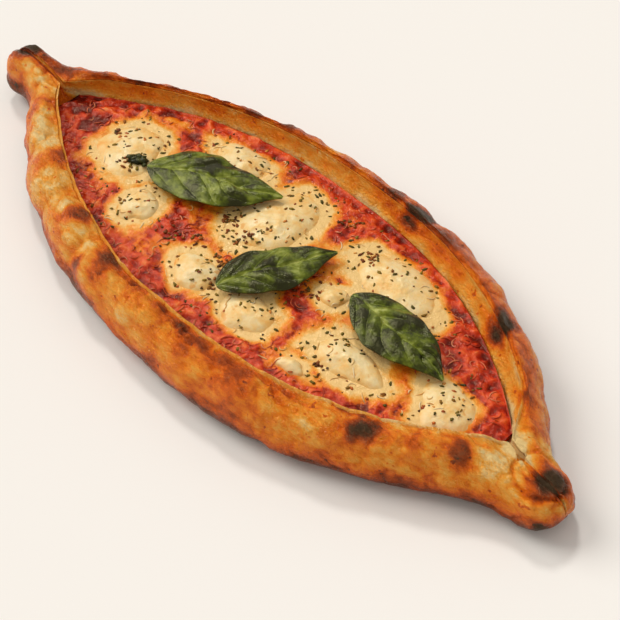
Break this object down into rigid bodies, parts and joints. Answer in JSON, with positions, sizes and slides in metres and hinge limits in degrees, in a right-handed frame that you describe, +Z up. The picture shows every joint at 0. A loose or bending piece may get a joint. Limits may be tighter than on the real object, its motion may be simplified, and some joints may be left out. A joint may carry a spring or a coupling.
{
  "type": "turkish pide",
  "caption": "Boat-shaped baked flatbread with a rolled, pleated rim and pinched tips, filled with tomato sauce, melted mozzarella pools and basil leaves.",
  "frame": {"origin": "middle of the underside of the bread, halfway along and across its bounding box", "axes": "+X along the boat towards the tip with the round knob, +Y across towards the far rim, +Z up"},
  "size_m": [0.325, 0.1314, 0.0251],
  "materials": {
    "baked_dough": "satin egg-washed crust, toasted in spots",
    "tomato_sauce": "wet and chunky",
    "melted_mozzarella": "soft shine",
    "basil": "satin, veined"
  },
  "bodies": {
    "root": {"crust": "baked_dough", "tomato_sauce": "tomato_sauce", "mozzarella_1": "melted_mozzarella", "mozzarella_2": "melted_mozzarella", "mozzarella_3": "melted_mozzarella", "mozzarella_4": "melted_mozzarella", "mozzarella_5": "melted_mozzarella", "mozzarella_6": "melted_mozzarella", "mozzarella_7": "melted_mozzarella", "mozzarella_8": "melted_mozzarella", "mozzarella_9": "melted_mozzarella", "mozzarella_10": "melted_mozzarella", "mozzarella_11": "melted_mozzarella", "basil_leaf_1": "basil", "basil_leaf_2": "basil", "basil_leaf_3": "basil"}
  },
  "joints": []
}
